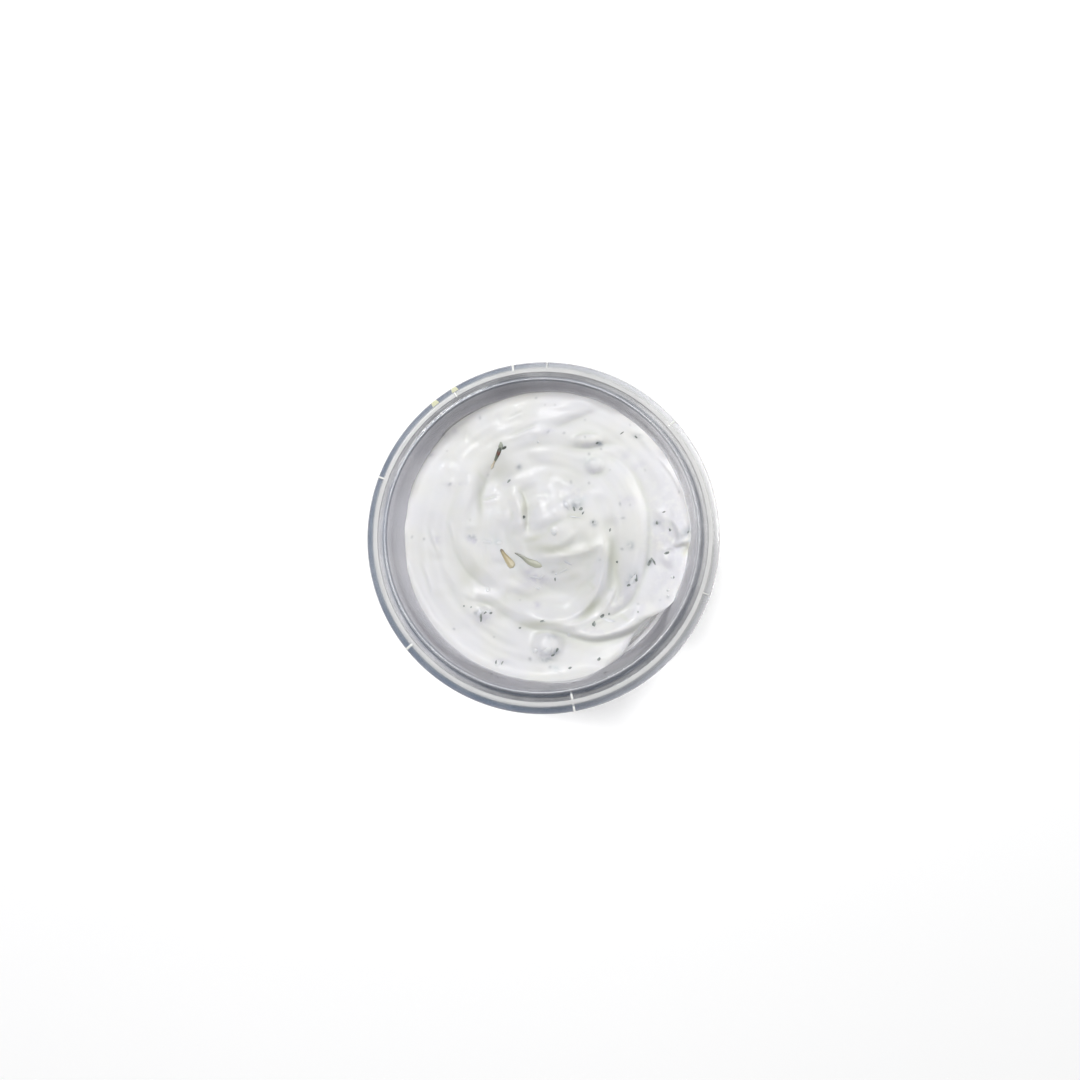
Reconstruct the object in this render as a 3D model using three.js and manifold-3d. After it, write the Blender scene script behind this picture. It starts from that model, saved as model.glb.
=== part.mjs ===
// A dish of shallot yogurt dip: a round clear plastic tub with a rim for a press-on lid, the thick dip
// that was spooned into it and swirled, and the larger bits of shallot and herb that lie on top.
// Millimetres, +Z up, origin at the middle of the tub's underside, image top of the dish = +Y.
import * as THREE from 'three';
import { mergeVertices } from 'three/addons/utils/BufferGeometryUtils.js';
import Module from 'manifold-3d';

// ---- driving dimensions of the tub -------------------------------------------------------------
const HEIGHT = 48; // underside to the top of the lip
const RIM_RADIUS = 59; // outer edge of the skirt
const LIP_RADIUS = 51.3; // inside of the lip at its top
const WALL = 0.65; // moulded wall
const UPPER_DRAFT = 11; // degrees, wall above the stacking ledge
const LOWER_DRAFT = 6; // degrees, wall below it
const LEDGE_Z = 29; // the ledge that a stacked tub stops on
const LEDGE_STEP = 1.6; // how far the wall steps in there
const LEDGE_DROP = 0.6; // height of the step's slope
const FLOOR = 1; // floor thickness
const FLOOR_FILLET = 3; // inside corner between floor and wall
const LIP_TOP = 0.7; // width of the lip's top
const LIP_SPLIT = 1.7; // below the top by this much, the lip's inner and outer wall part
const LIP_FOOT_RADIUS = 53.5; // outside of the lip where it meets the channel
const CHANNEL_Z = 41.4; // floor of the channel that takes the lid's edge
const RIDGE_RADII = [54.7, 56.3]; // inner and outer side of the ridge
const RIDGE_Z = 43; // top of the ridge
const SLOPE_FOOT = [58.5, 40.6]; // radius and height where the outer slope turns into the skirt
const SKIRT_Z = 37.6; // lower edge of the skirt
const TUB_SEGMENTS = 68;

// ---- ribs on the outer slope -------------------------------------------------------------------
const RIB_ANGLES = [40, 100, 160, 220, 280, 340]; // degrees from +X
const RIB_WIDTH = 1.1;
const TAB_SEAT_ANGLES = [121, 129.6]; // the two ends of the tear tab's seat
const TAB_SEAT_WIDTH = 1.7;
const RIB_RISE = 1.9; // top of a rib above the foot of the slope
const RIB_SINK = 0.3; // how far a rib runs into the wall under it

// ---- the dip -----------------------------------------------------------------------------------
const GAP = 0.3; // between neighbouring solids
const DIP_SEGMENTS = 72;
const DIP_RINGS = 20;
const LEVEL = 33.4; // mean level of the surface
const LEAN = [0.055, 0.045]; // rise per mm towards +X and +Y
// Low mounds and hollows of the swirl, and rounded lumps where a bit of shallot lies under the surface.
const MOUNDS = [
  { at: [4, 5], reach: [15, 14], height: 2.6 },
  { at: [24, 2], reach: [13, 22], height: 1.5 },
  { at: [6, 38], reach: [22, 12], height: 1.4 },
  { at: [5, -19], reach: [12, 8], height: -1.6 },
  { at: [-7, -20.5], reach: [10, 4], height: 0.6 },
  { at: [-32, 8], reach: [12, 20], height: 0.7 },
  { at: [1.5, -36], reach: [3.8, 3.5], height: 1.6 },
  { at: [14.8, 33.2], reach: [4, 2.6], height: 0.9 },
  { at: [17.1, 24.8], reach: [2.6, 2.4], height: 1 },
  { at: [41.2, 6.3], reach: [2.4, 3.3], height: 0.9 },
  { at: [42.3, -7.6], reach: [2.6, 2.6], height: 0.7 },
  { at: [-16, 19], reach: [6, 6], height: -0.7 },
];
// Height at which the dip meets the wall, by compass angle from +X.
const EDGE_HEIGHTS = [
  [0, 38], [28, 37.5], [50, 37], [65, 39.5], [90, 38.5], [112, 37], [128, 37.8], [150, 34.5], [172, 31],
  [185, 30.6], [230, 33], [250, 32.4], [266, 34], [281, 37.5], [303, 31], [332, 34.5], [345, 35.5],
];
// The one place where the dip stands off the wall and shows the ledge.
const POCKET = { angle: 318, spread: 17, depth: 4.4, bottom: 22, rise: 8 };
// A fold is a step whose high side lies to the left of its line. A lobe has a round shoulder over a
// crease, a crest has a sharp top over a hollow flank.
// depth: full height of the step; width: of its flank; reach: how far each side runs out; round: how
// soft the crease or top is; fade: shares of the length over which it grows and dies.
const FOLDS = [
  { line: [[31.5, -19.8], [34.5, -10.4], [35.9, 3.2], [33.2, 15.8], [26.4, 25.4], [13, 28.6]],
    depth: 2, width: 4.8, reach: [15, 8], round: 0.6, fade: [0.2, 0.45] },
  { line: [[0.8, 36.5], [5.9, 37.9], [12.7, 40.6], [21.2, 43.3]],
    depth: 1.2, width: 4, reach: [7, 9], round: 0.8, fade: [0.35, 0.3] },
  { line: [[28.5, 30.2], [22.5, 31.2], [16.1, 30], [9, 30.2], [3, 32.2]],
    depth: 1.1, width: 4, reach: [9, 4], round: 0.6, fade: [0.3, 0.4] },
  { line: [[-19.4, 3.6], [-21.5, 11.7], [-20.6, 16.8], [-16.5, 26.4], [-13.5, 29.8]],
    depth: 1.6, width: 6, reach: [14, 9], round: 0.7, fade: [0.3, 0.4] },
  { line: [[-6.3, -0.4], [-5.4, 5], [-5.6, 10.5], [-7.4, 15.5], [-10.5, 19]],
    depth: 2.2, width: 3.4, reach: [9, 6], round: 0.6, fade: [0.25, 0.4] },
  { line: [[-6, 1.2], [-1, 2.8], [4.2, 4.8], [10, 7]],
    depth: 1.5, width: 4, reach: [8, 4], round: 1.8, fade: [0.35, 0.3] },
  { line: [[-3.5, -3.8], [3.5, -3.4], [7.8, -1.6], [11, 1.6], [11.7, 5]],
    depth: 1.1, width: 3.2, reach: [4, 6], round: 0.9, fade: [0.4, 0.4], crest: true },
  { line: [[-4, -7.4], [3, -7], [10, -6.2], [16, -4.6], [20.4, -1]],
    depth: 1.7, width: 4.5, reach: [4, 4], round: 1, fade: [0.4, 0.2], crest: true },
  { line: [[2, -28.4], [12.6, -25.4], [18.8, -17.2], [21, -6.3], [19.4, 3.4]],
    depth: 3.2, width: 4.6, reach: [6, 13], round: 0.6, fade: [0.4, 0.2], crest: true },
  { line: [[2, -30.8], [13.5, -29.4], [22, -22.5], [26, -11]],
    depth: 1.2, width: 2.2, reach: [5, 3], round: 0.6, fade: [0.35, 0.3], crest: true },
  { line: [[19.5, -28], [28, -23.2], [31, -19], [32.6, -13]],
    depth: 1.2, width: 3, reach: [7, 4], round: 0.6, fade: [0.35, 0.3] },
  { line: [[-12, -27.5], [-6, -30], [5.3, -32.2], [17, -34.8]],
    depth: 2, width: 4.5, reach: [10, 6], round: 0.6, fade: [0.45, 0.35] },
  { line: [[5.5, -31.9], [16.8, -35], [23.6, -34], [30.4, -31.6], [40.5, -24]],
    depth: 3.8, width: 1.9, reach: [8, 8], round: 0.6, fade: [0.3, 0.25] },
  { line: [[-32.2, 4], [-31, -3], [-28, -9], [-23.7, -13.9], [-18.4, -17.4], [-11.8, -19.6]],
    depth: 1.9, width: 8, reach: [14, 6], round: 0.7, fade: [0.4, 0.35] },
  { line: [[-30, -19.6], [-19.6, -22.2], [-11.8, -27], [-8.4, -29.4]],
    depth: 1.1, width: 3.2, reach: [7, 5], round: 0.7, fade: [0.4, 0.3] },
];
const FLANK_SHARE = 0.55; // share of a step's height that stands above the surface round it
const LINE_STEPS = 24; // pieces in which the nearest point of a fold's line is looked for

// ---- the larger bits on top --------------------------------------------------------------------
const BITS = [
  // from and to: its two ends in plan; widths: at its narrow and its wide end
  { name: 'shallot_strip', from: [-14, -3.4], to: [-9.4, -9.8], widths: [1.2, 2.5],
    thickness: 1.1, colour: 0xa8894f },
  { name: 'shallot_skin_strip', from: [-8.9, -4.7], to: [-0.4, -8.4], widths: [1.1, 2.1],
    thickness: 0.8, colour: 0x6f6f4c },
  { name: 'herb_sprig', from: [-17.2, 25.4], to: [-12.9, 32.6], widths: [1.4, 2.6],
    thickness: 0.7, colour: 0x2b3325 },
];
const BIT_PROUD = 0.35; // how far the middle of a bit stands above the dip
const BIT_SIDES = 10;
const BIT_STATIONS = 9;

const wasm = await Module();
wasm.setup();

const smooth = (q) => THREE.MathUtils.smoothstep(q, 0, 1);
const tan = (degrees) => Math.tan(THREE.MathUtils.degToRad(degrees));

// ---- solids from and to manifold ---------------------------------------------------------------
function toSolid(geometry) {
  const bare = geometry.clone();
  bare.deleteAttribute('normal');
  bare.deleteAttribute('uv');
  const merged = mergeVertices(bare, 1e-4);
  const vertProperties = new Float32Array(merged.attributes.position.array);
  const triVerts = new Uint32Array(merged.index.array);
  return new wasm.Manifold(new wasm.Mesh({ numProp: 3, vertProperties, triVerts }));
}

function toGeometry(solid) {
  const mesh = solid.getMesh();
  const geometry = new THREE.BufferGeometry();
  geometry.setAttribute('position', new THREE.BufferAttribute(mesh.vertProperties, 3));
  geometry.setIndex(new THREE.BufferAttribute(mesh.triVerts, 1));
  return geometry;
}

function namedMesh(name, solid, look) {
  const mesh = new THREE.Mesh(toGeometry(solid), new THREE.MeshStandardMaterial(look));
  mesh.name = name;
  return mesh;
}

// ---- the tub's wall ----------------------------------------------------------------------------
// Radius of the inside of the wall at height z, from the floor's fillet to the lip.
function wallRadius(z) {
  const ledgeOuter = LIP_RADIUS - (HEIGHT - LEDGE_Z) * tan(UPPER_DRAFT);
  const ledgeInner = ledgeOuter - LEDGE_STEP;
  const ledgeFoot = LEDGE_Z - LEDGE_DROP;
  const filletTop = FLOOR + FLOOR_FILLET;
  if (z >= LEDGE_Z) return LIP_RADIUS - (HEIGHT - z) * tan(UPPER_DRAFT);
  if (z >= ledgeFoot) return ledgeInner + (LEDGE_STEP * (z - ledgeFoot)) / LEDGE_DROP;
  if (z >= filletTop) return ledgeInner - (ledgeFoot - z) * tan(LOWER_DRAFT);
  const down = Math.min(filletTop - z, FLOOR_FILLET);
  const centre = ledgeInner - (ledgeFoot - filletTop) * tan(LOWER_DRAFT) - FLOOR_FILLET;
  return centre + Math.sqrt(FLOOR_FILLET ** 2 - down ** 2);
}

function filletPoints(bottom, radius, wallAt, steps) {
  const points = [];
  for (let i = 0; i <= steps; i += 1) {
    const angle = (i / steps) * (Math.PI / 2);
    const z = bottom + radius * (1 - Math.cos(angle));
    points.push([wallAt - radius * (1 - Math.sin(angle)), z]);
  }
  return points;
}

function tubSolid() {
  const ledgeFoot = LEDGE_Z - LEDGE_DROP;
  const filletTop = FLOOR + FLOOR_FILLET;
  const slopeBack = [RIDGE_RADII[1], RIDGE_Z];
  const inside = [
    [0, FLOOR],
    ...filletPoints(FLOOR, FLOOR_FILLET, wallRadius(filletTop), 3),
    [wallRadius(ledgeFoot), ledgeFoot],
    [wallRadius(LEDGE_Z), LEDGE_Z],
    [wallRadius(HEIGHT - 0.3), HEIGHT - 0.3],
  ];
  const rim = [
    [LIP_RADIUS + 0.3, HEIGHT],
    [LIP_RADIUS + LIP_TOP - 0.25, HEIGHT],
    [LIP_RADIUS + LIP_TOP, HEIGHT - 0.3],
    [LIP_FOOT_RADIUS, CHANNEL_Z + 0.2],
    [LIP_FOOT_RADIUS + 0.3, CHANNEL_Z],
    [RIDGE_RADII[0] - 0.2, CHANNEL_Z],
    [RIDGE_RADII[0], RIDGE_Z - 0.2],
    [RIDGE_RADII[0] + 0.2, RIDGE_Z],
    [RIDGE_RADII[1] - 0.2, RIDGE_Z],
    [slopeBack[0], RIDGE_Z - 0.2],
    SLOPE_FOOT,
    [RIM_RADIUS, SLOPE_FOOT[1] - 0.6],
    [RIM_RADIUS, SKIRT_Z],
    [RIM_RADIUS - WALL, SKIRT_Z],
  ];
  const under = [
    [RIM_RADIUS - WALL, SLOPE_FOOT[1] - 0.9],
    [slopeBack[0] - 0.4, RIDGE_Z - WALL - 0.3],
    [RIDGE_RADII[0] + 0.5, RIDGE_Z - WALL],
    [RIDGE_RADII[0] + 0.35, CHANNEL_Z - WALL],
    [LIP_FOOT_RADIUS - WALL - 0.1, CHANNEL_Z - WALL],
    [LIP_RADIUS + LIP_TOP / 2, HEIGHT - LIP_SPLIT],
    [wallRadius(CHANNEL_Z) + WALL, CHANNEL_Z],
    [wallRadius(LEDGE_Z) + WALL, LEDGE_Z - 0.1],
    [wallRadius(ledgeFoot) + WALL, ledgeFoot - 0.3],
  ];
  const base = filletPoints(0, FLOOR_FILLET + WALL, wallRadius(filletTop) + WALL, 3).reverse();
  const outline = [...inside, ...rim, ...under, ...base, [0, 0]];
  const profile = outline.map(([r, z]) => new THREE.Vector2(r, z)).reverse();
  const geometry = new THREE.LatheGeometry(profile, TUB_SEGMENTS);
  geometry.rotateX(Math.PI / 2);
  return toSolid(geometry);
}

// A thin upright web that fills the corner between the ridge and the outer edge.
function ribSolid(degrees, width) {
  const top = SLOPE_FOOT[1] + RIB_RISE;
  const web = new THREE.Shape([
    new THREE.Vector2(RIDGE_RADII[1] - 0.6, RIDGE_Z - 0.1),
    new THREE.Vector2(RIDGE_RADII[1] - 0.6, RIDGE_Z - 0.1 - RIB_SINK * 2),
    new THREE.Vector2(SLOPE_FOOT[0] - 0.2, SLOPE_FOOT[1] - RIB_SINK),
    new THREE.Vector2(SLOPE_FOOT[0] + 0.1, SLOPE_FOOT[1] - RIB_SINK),
    new THREE.Vector2(SLOPE_FOOT[0] + 0.1, top),
    new THREE.Vector2(RIDGE_RADII[1] + 0.4, RIDGE_Z - 0.1),
  ]);
  const geometry = new THREE.ExtrudeGeometry(web, { depth: width, bevelEnabled: false, steps: 1 });
  geometry.translate(0, 0, -width / 2);
  geometry.rotateX(Math.PI / 2);
  geometry.rotateZ(THREE.MathUtils.degToRad(degrees));
  return toSolid(geometry);
}

// ---- the dip's surface -------------------------------------------------------------------------
function prepared(fold) {
  const curve = new THREE.SplineCurve(fold.line.map(([x, y]) => new THREE.Vector2(x, y)));
  return { ...fold, points: curve.getSpacedPoints(LINE_STEPS) };
}

// Distance of a place from a fold's line, signed (left positive), and how far along the line it is.
function alongLine(points, x, y) {
  let best = { distance: Infinity, side: 1, along: 0 };
  for (let i = 0; i < points.length - 1; i += 1) {
    const start = points[i];
    const dx = points[i + 1].x - start.x;
    const dy = points[i + 1].y - start.y;
    const share = ((x - start.x) * dx + (y - start.y) * dy) / (dx * dx + dy * dy);
    const t = THREE.MathUtils.clamp(share, 0, 1);
    const ex = x - (start.x + t * dx);
    const ey = y - (start.y + t * dy);
    const distance = Math.hypot(ex, ey);
    if (distance < best.distance - 1e-9) {
      const side = dx * ey - dy * ex >= 0 ? 1 : -1;
      best = { distance, side, along: (i + t) / (points.length - 1) };
    }
  }
  return best;
}

const fallOff = (q, soft) => (q >= 1 ? 0 : (1 - q) ** 2 * (1 + 2 * q * soft));
const grown = (along, fade) => smooth(along / fade[0]) * smooth((1 - along) / fade[1]);
const bulge = (place, x, y) =>
  place.height *
  Math.exp(-(((x - place.at[0]) / place.reach[0]) ** 2) - ((y - place.at[1]) / place.reach[1]) ** 2);

function foldHeight(fold, x, y) {
  const near = alongLine(fold.points, x, y);
  const signed = near.distance * near.side;
  const hinge = (Math.hypot(signed, fold.round) + (fold.crest ? -signed : signed)) / 2;
  const q = THREE.MathUtils.clamp(hinge / fold.width, 0, 1);
  const risen = fold.crest ? (1 - q) ** 2 : 1 - (1 - q) ** 2;
  const high = FLANK_SHARE * risen * fallOff(Math.max(signed, 0) / fold.reach[0], fold.crest ? 0.3 : 1);
  const low = (1 - FLANK_SHARE) * (1 - risen) * fallOff(Math.max(-signed, 0) / fold.reach[1], 0.5);
  return fold.depth * grown(near.along, fold.fade) * (high - low);
}

const folds = FOLDS.map(prepared);

// Height of the swirled surface, before it turns down or up at the wall.
function swirlHeight(x, y) {
  let z = LEVEL + LEAN[0] * x + LEAN[1] * y;
  for (const place of MOUNDS) z += bulge(place, x, y);
  for (const fold of folds) z += foldHeight(fold, x, y);
  return z;
}

function edgeHeight(angle) {
  const degrees = (THREE.MathUtils.radToDeg(angle) + 360) % 360;
  const last = EDGE_HEIGHTS.length - 1;
  const index = EDGE_HEIGHTS.findLastIndex(([at]) => at <= degrees);
  const [from, fromZ] = EDGE_HEIGHTS[index];
  const [to, toZ] = index === last ? [360, EDGE_HEIGHTS[0][1]] : EDGE_HEIGHTS[index + 1];
  return THREE.MathUtils.lerp(fromZ, toZ, smooth((degrees - from) / (to - from)));
}

function pocketDepth(angle, z) {
  const turned = THREE.MathUtils.radToDeg(angle) - POCKET.angle;
  const away = Math.abs(THREE.MathUtils.euclideanModulo(turned + 180, 360) - 180);
  const up = smooth((z - POCKET.bottom) / POCKET.rise);
  return POCKET.depth * fallOff(away / POCKET.spread, 1) * up;
}

// The dip's side follows the wall at a small gap, also over the ledge, except in the pocket.
const sideRadius = (angle, z) => wallRadius(z - GAP) - GAP - pocketDepth(angle, z);

function surfaceHeight(x, y) {
  const angle = Math.atan2(y, x);
  const edge = edgeHeight(angle);
  const inner = swirlHeight(x, y);
  const turn = THREE.MathUtils.clamp(1.5 + 0.8 * Math.abs(inner - edge), 1.5, 6);
  const inward = THREE.MathUtils.clamp((sideRadius(angle, edge) - Math.hypot(x, y)) / turn, 0, 1);
  return edge + (inner - edge) * Math.sqrt(1 - (1 - inward) ** 2);
}

// A lathe body gives the mesh: rings of the top, then rows down the side, then the underside.
function dipSolid() {
  const filletTop = FLOOR + FLOOR_FILLET + GAP;
  const ledgeFoot = LEDGE_Z - LEDGE_DROP + GAP;
  const sideHeights = [LEDGE_Z + GAP, ledgeFoot, 25.5, POCKET.bottom, filletTop, FLOOR + 1.2, FLOOR + GAP];
  const rows = [];
  for (let i = 0; i <= DIP_RINGS; i += 1) rows.push({ share: i / DIP_RINGS });
  for (const height of sideHeights) rows.push({ height });
  rows.push({ floor: true });
  const profile = rows.map((row, i) => new THREE.Vector2(row.share === 0 || row.floor ? 0 : 1, -i));
  const geometry = new THREE.LatheGeometry(profile.reverse(), DIP_SEGMENTS);
  const position = geometry.attributes.position;
  for (let i = 0; i < position.count; i += 1) {
    const index = Math.round(-position.getY(i));
    const row = rows[index];
    const angle = Math.atan2(position.getX(i), position.getZ(i));
    const edge = edgeHeight(angle);
    let radius = 0;
    let z = FLOOR + GAP;
    if (row.share !== undefined) {
      radius = sideRadius(angle, edge) * (1 - (1 - row.share) ** 1.15);
      z = surfaceHeight(radius * Math.cos(angle), radius * Math.sin(angle));
    } else if (row.height !== undefined) {
      z = row.height;
      radius = sideRadius(angle, z);
    }
    position.setXYZ(i, radius * Math.cos(angle), radius * Math.sin(angle), z);
  }
  return toSolid(geometry);
}

// A flat, slightly arched bit with round ends, narrow at one end, laid on the dip's surface.
// grow widens it all round, for the bed that it leaves in the dip.
function bitSolid(bit, grow) {
  const from = new THREE.Vector2(...bit.from);
  const to = new THREE.Vector2(...bit.to);
  const length = from.distanceTo(to);
  const profile = [];
  for (let i = 0; i <= BIT_STATIONS; i += 1) {
    const t = i / BIT_STATIONS;
    const width = THREE.MathUtils.lerp(bit.widths[0], bit.widths[1], smooth(t));
    const round = Math.sqrt(Math.max(0, 1 - Math.abs(2 * t - 1) ** 5));
    const along = (t - 0.5) * (length + 2 * grow);
    const half = i === 0 || i === BIT_STATIONS ? 0 : (width / 2 + grow) * round;
    profile.push(new THREE.Vector2(half, along));
  }
  const geometry = new THREE.LatheGeometry(profile, BIT_SIDES);
  geometry.rotateX(Math.PI / 2);
  const flat = (bit.thickness / 2 + grow) / (Math.max(...bit.widths) / 2 + grow);
  geometry.scale(1, flat, 1);
  const start = new THREE.Vector3(from.x, from.y, swirlHeight(from.x, from.y));
  const end = new THREE.Vector3(to.x, to.y, swirlHeight(to.x, to.y));
  const middle = start.clone().add(end).multiplyScalar(0.5);
  const highest = Math.max(middle.z, swirlHeight(middle.x, middle.y));
  const place = new THREE.Matrix4().lookAt(end, start, new THREE.Vector3(0, 0, 1));
  geometry.applyMatrix4(place);
  geometry.translate(middle.x, middle.y, highest + BIT_PROUD - bit.thickness / 4);
  return toSolid(geometry);
}

// ---- the dish ----------------------------------------------------------------------------------
let tub = tubSolid();
for (const angle of RIB_ANGLES) tub = tub.add(ribSolid(angle, RIB_WIDTH));
for (const angle of TAB_SEAT_ANGLES) tub = tub.add(ribSolid(angle, TAB_SEAT_WIDTH));

let dip = dipSolid();
for (const bit of BITS) dip = dip.subtract(bitSolid(bit, GAP));

const dish = new THREE.Group();
dish.add(namedMesh('tub', tub, { color: 0xc9d0d8, roughness: 0.12, metalness: 0,
  transparent: true, opacity: 0.45 }));
dish.add(namedMesh('dip', dip, { color: 0xf0eff1, roughness: 0.3, metalness: 0 }));
for (const bit of BITS) {
  dish.add(namedMesh(bit.name, bitSolid(bit, 0), { color: bit.colour, roughness: 0.35, metalness: 0 }));
}

export default dish;
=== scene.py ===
import math
import random

import bmesh
import bpy
import numpy as np
from mathutils import Matrix, Vector


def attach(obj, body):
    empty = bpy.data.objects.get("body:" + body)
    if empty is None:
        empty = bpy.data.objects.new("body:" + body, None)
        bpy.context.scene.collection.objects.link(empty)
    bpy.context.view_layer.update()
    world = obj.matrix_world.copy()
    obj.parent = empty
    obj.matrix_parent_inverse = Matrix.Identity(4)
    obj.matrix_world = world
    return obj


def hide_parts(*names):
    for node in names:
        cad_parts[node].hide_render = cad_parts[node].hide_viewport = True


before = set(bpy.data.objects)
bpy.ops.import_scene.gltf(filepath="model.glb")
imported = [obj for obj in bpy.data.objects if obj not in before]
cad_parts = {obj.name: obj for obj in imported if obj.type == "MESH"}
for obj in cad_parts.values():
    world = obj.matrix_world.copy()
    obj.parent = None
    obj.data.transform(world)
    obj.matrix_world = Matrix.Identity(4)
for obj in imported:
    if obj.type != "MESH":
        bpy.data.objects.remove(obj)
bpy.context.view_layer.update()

# ---- Camera --------------------------------------------------------------------------------------
# Looks down on the dish from 38 cm away, a little south-east of straight above, so that the dish
# takes up a third of the picture.
MM = 0.001
AIM = Vector((-0.7, -1.4, 40.0)) * MM
CAMERA_AWAY = 380 * MM
TILT_EAST, TILT_SOUTH = math.radians(3.5), math.radians(5.0)
LENS, SENSOR, PICTURE = 37.95, 36.0, 1080  # mm, mm and pixels across

back = Vector((math.sin(TILT_EAST), -math.sin(TILT_SOUTH), 0))
back.z = math.sqrt(1 - back.length_squared)
right = Vector((0, 1, 0)).cross(back).normalized()
up = back.cross(right)
camera = bpy.data.objects.new("camera", bpy.data.cameras.new("camera"))
camera.data.lens, camera.data.sensor_width = LENS, SENSOR
turned_to_dish = Matrix((right, up, back)).transposed().to_4x4()
camera.matrix_world = Matrix.Translation(AIM + back * CAMERA_AWAY) @ turned_to_dish
bpy.context.scene.collection.objects.link(camera)
bpy.context.scene.camera = camera

# ---- Table and light -----------------------------------------------------------------------------
# A plain pale table top that glows faintly, under a big soft box. A second soft box stands to the
# north-west and a low strip to the north-east, and the room beyond them is dim, which gives the
# clear rim some of its dark lines; the rest are painted shade in the plastic's colour.
TABLE_HALF, TABLE_DROP, TABLE_GLOW = 1.5, 0.02 * MM, 0.12  # the drop keeps it clear of the tub
ROOM_COLOUR, ROOM_STRENGTH = (0.45, 0.46, 0.48, 1), 0.37
SCATTER = (1.0, 0.85, 0.7)  # how far red, green and blue light go under a milky surface


def new_object(name, bm, material, smooth=True):
    """Makes a mesh object of bm, shaded smooth or flat, with one material."""
    mesh = bpy.data.meshes.new(name)
    bm.to_mesh(mesh)
    bm.free()
    mesh.polygons.foreach_set("use_smooth", [smooth] * len(mesh.polygons))
    mesh.materials.append(material)
    made = bpy.data.objects.new(name, mesh)
    bpy.context.scene.collection.objects.link(made)
    return made


def new_material(name, **values):
    """A Principled material with the given sockets set, its node tree and its shader."""
    material = bpy.data.materials.new(name)
    material.use_nodes = True
    shader = material.node_tree.nodes["Principled BSDF"]
    for key, value in values.items():
        shader.inputs[key.replace("_", " ").title().replace("Ior", "IOR")].default_value = value
    shader.inputs["Subsurface Radius"].default_value = SCATTER
    return material, material.node_tree, shader


def object_place(tree):
    """The socket of a point's place on the piece."""
    return tree.nodes.new("ShaderNodeTexCoord").outputs["Object"]


def feed(value, socket):
    """Links the socket of one node to that of another, or sets a plain value on it."""
    if isinstance(value, bpy.types.NodeSocket):
        socket.id_data.links.new(value, socket)
    else:
        socket.default_value = value


def noise(place, scale, detail=2):
    """The socket of a noise of the given scale at a place socket."""
    texture = place.id_data.nodes.new("ShaderNodeTexNoise")
    for name, value in (("Vector", place), ("Scale", scale), ("Detail", detail)):
        feed(value, texture.inputs[name])
    return texture.outputs["Fac"]


def ranged(value, low, high):
    """A socket that runs from 0 to 1 while the value socket runs from low to high."""
    span = value.id_data.nodes.new("ShaderNodeMapRange")
    for name, fed in (("Value", value), ("From Min", low), ("From Max", high)):
        feed(fed, span.inputs[name])
    return span.outputs["Result"]


def mixed(factor, first, second):
    """A mix of two colours or colour sockets by a factor socket."""
    mix = factor.id_data.nodes.new("ShaderNodeMix")
    mix.data_type = "RGBA"
    for name, value in (("Factor", factor), ("A", first), ("B", second)):
        socket = next(item for item in mix.inputs if item.name == name and item.enabled)
        feed((*value, 1) if isinstance(value, tuple) else value, socket)
    return next(item for item in mix.outputs if item.enabled)


def mottled(name, scale, dark, light, span=(0, 1), **values):
    """A Principled material whose colour goes from dark to light with a noise, over a span of it."""
    material, tree, shader = new_material(name, **values)
    share = ranged(noise(object_place(tree), scale), *span)
    feed(mixed(share, dark, light), shader.inputs["Base Color"])
    return material


def area_light(name, place, size, power, colour):
    """A square soft box at place, in metres, turned to face the dish."""
    data = bpy.data.lights.new(name, "AREA")
    data.shape, data.size, data.energy, data.color = "SQUARE", size, power, colour
    light = bpy.data.objects.new(name, data)
    light.location = place
    light.rotation_euler = (-Vector(place)).to_track_quat("-Z", "Y").to_euler()
    bpy.context.scene.collection.objects.link(light)
    return light


area_light("overhead_box", (-0.02, 0.03, 1.3), 0.75, 6.0, (1.0, 0.99, 0.98))
area_light("north_west_box", (-0.42, 0.46, 1.15), 0.36, 8.6, (1.0, 1.0, 1.0))
strip_light = area_light("north_east_strip", (0.5, 0.28, 0.1), 0.6, 1.3, (1.0, 1.0, 0.98))
strip_light.data.shape, strip_light.data.size_y = "RECTANGLE", 0.06
world = bpy.data.worlds.new("dim_room")
world.use_nodes = True
world.node_tree.nodes["Background"].inputs["Color"].default_value = ROOM_COLOUR
world.node_tree.nodes["Background"].inputs["Strength"].default_value = ROOM_STRENGTH
bpy.context.scene.world = world
bpy.context.scene.view_settings.view_transform = "Standard"

bm = bmesh.new()
bmesh.ops.create_grid(bm, x_segments=1, y_segments=1, size=TABLE_HALF,
                      matrix=Matrix.Translation((0, 0, -TABLE_DROP)))
table = new_object("table", bm, mottled(
    "table", 6, (0.965, 0.965, 0.965), (0.98, 0.98, 0.98),
    roughness=0.55, emission_color=(1, 1, 1, 1), emission_strength=TABLE_GLOW))

# ---- The tub -------------------------------------------------------------------------------------
# A thin clear plastic tub, injection moulded in one shot: a slightly flared wall with a stacking
# ledge, a hollow lip, a channel and a ridge that hold the lid, an outer slope and a short skirt.
LEDGE_Z, LEDGE_FOOT_Z = 29.0, 28.4
TUB_TOP, LIP_RADIUS, WALL = 48.0, 51.3, 0.65
UPPER_DRAFT, LOWER_DRAFT = math.tan(math.radians(11)), math.tan(math.radians(6))
LEDGE_RADIUS = LIP_RADIUS - (TUB_TOP - LEDGE_Z) * UPPER_DRAFT
LEDGE_FOOT_RADIUS = LEDGE_RADIUS - 1.6
RIDGE_IN, RIDGE_OUT, RIDGE_Z = 54.8, 56.1, 43.0
TUB_TURNS = 720


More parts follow.
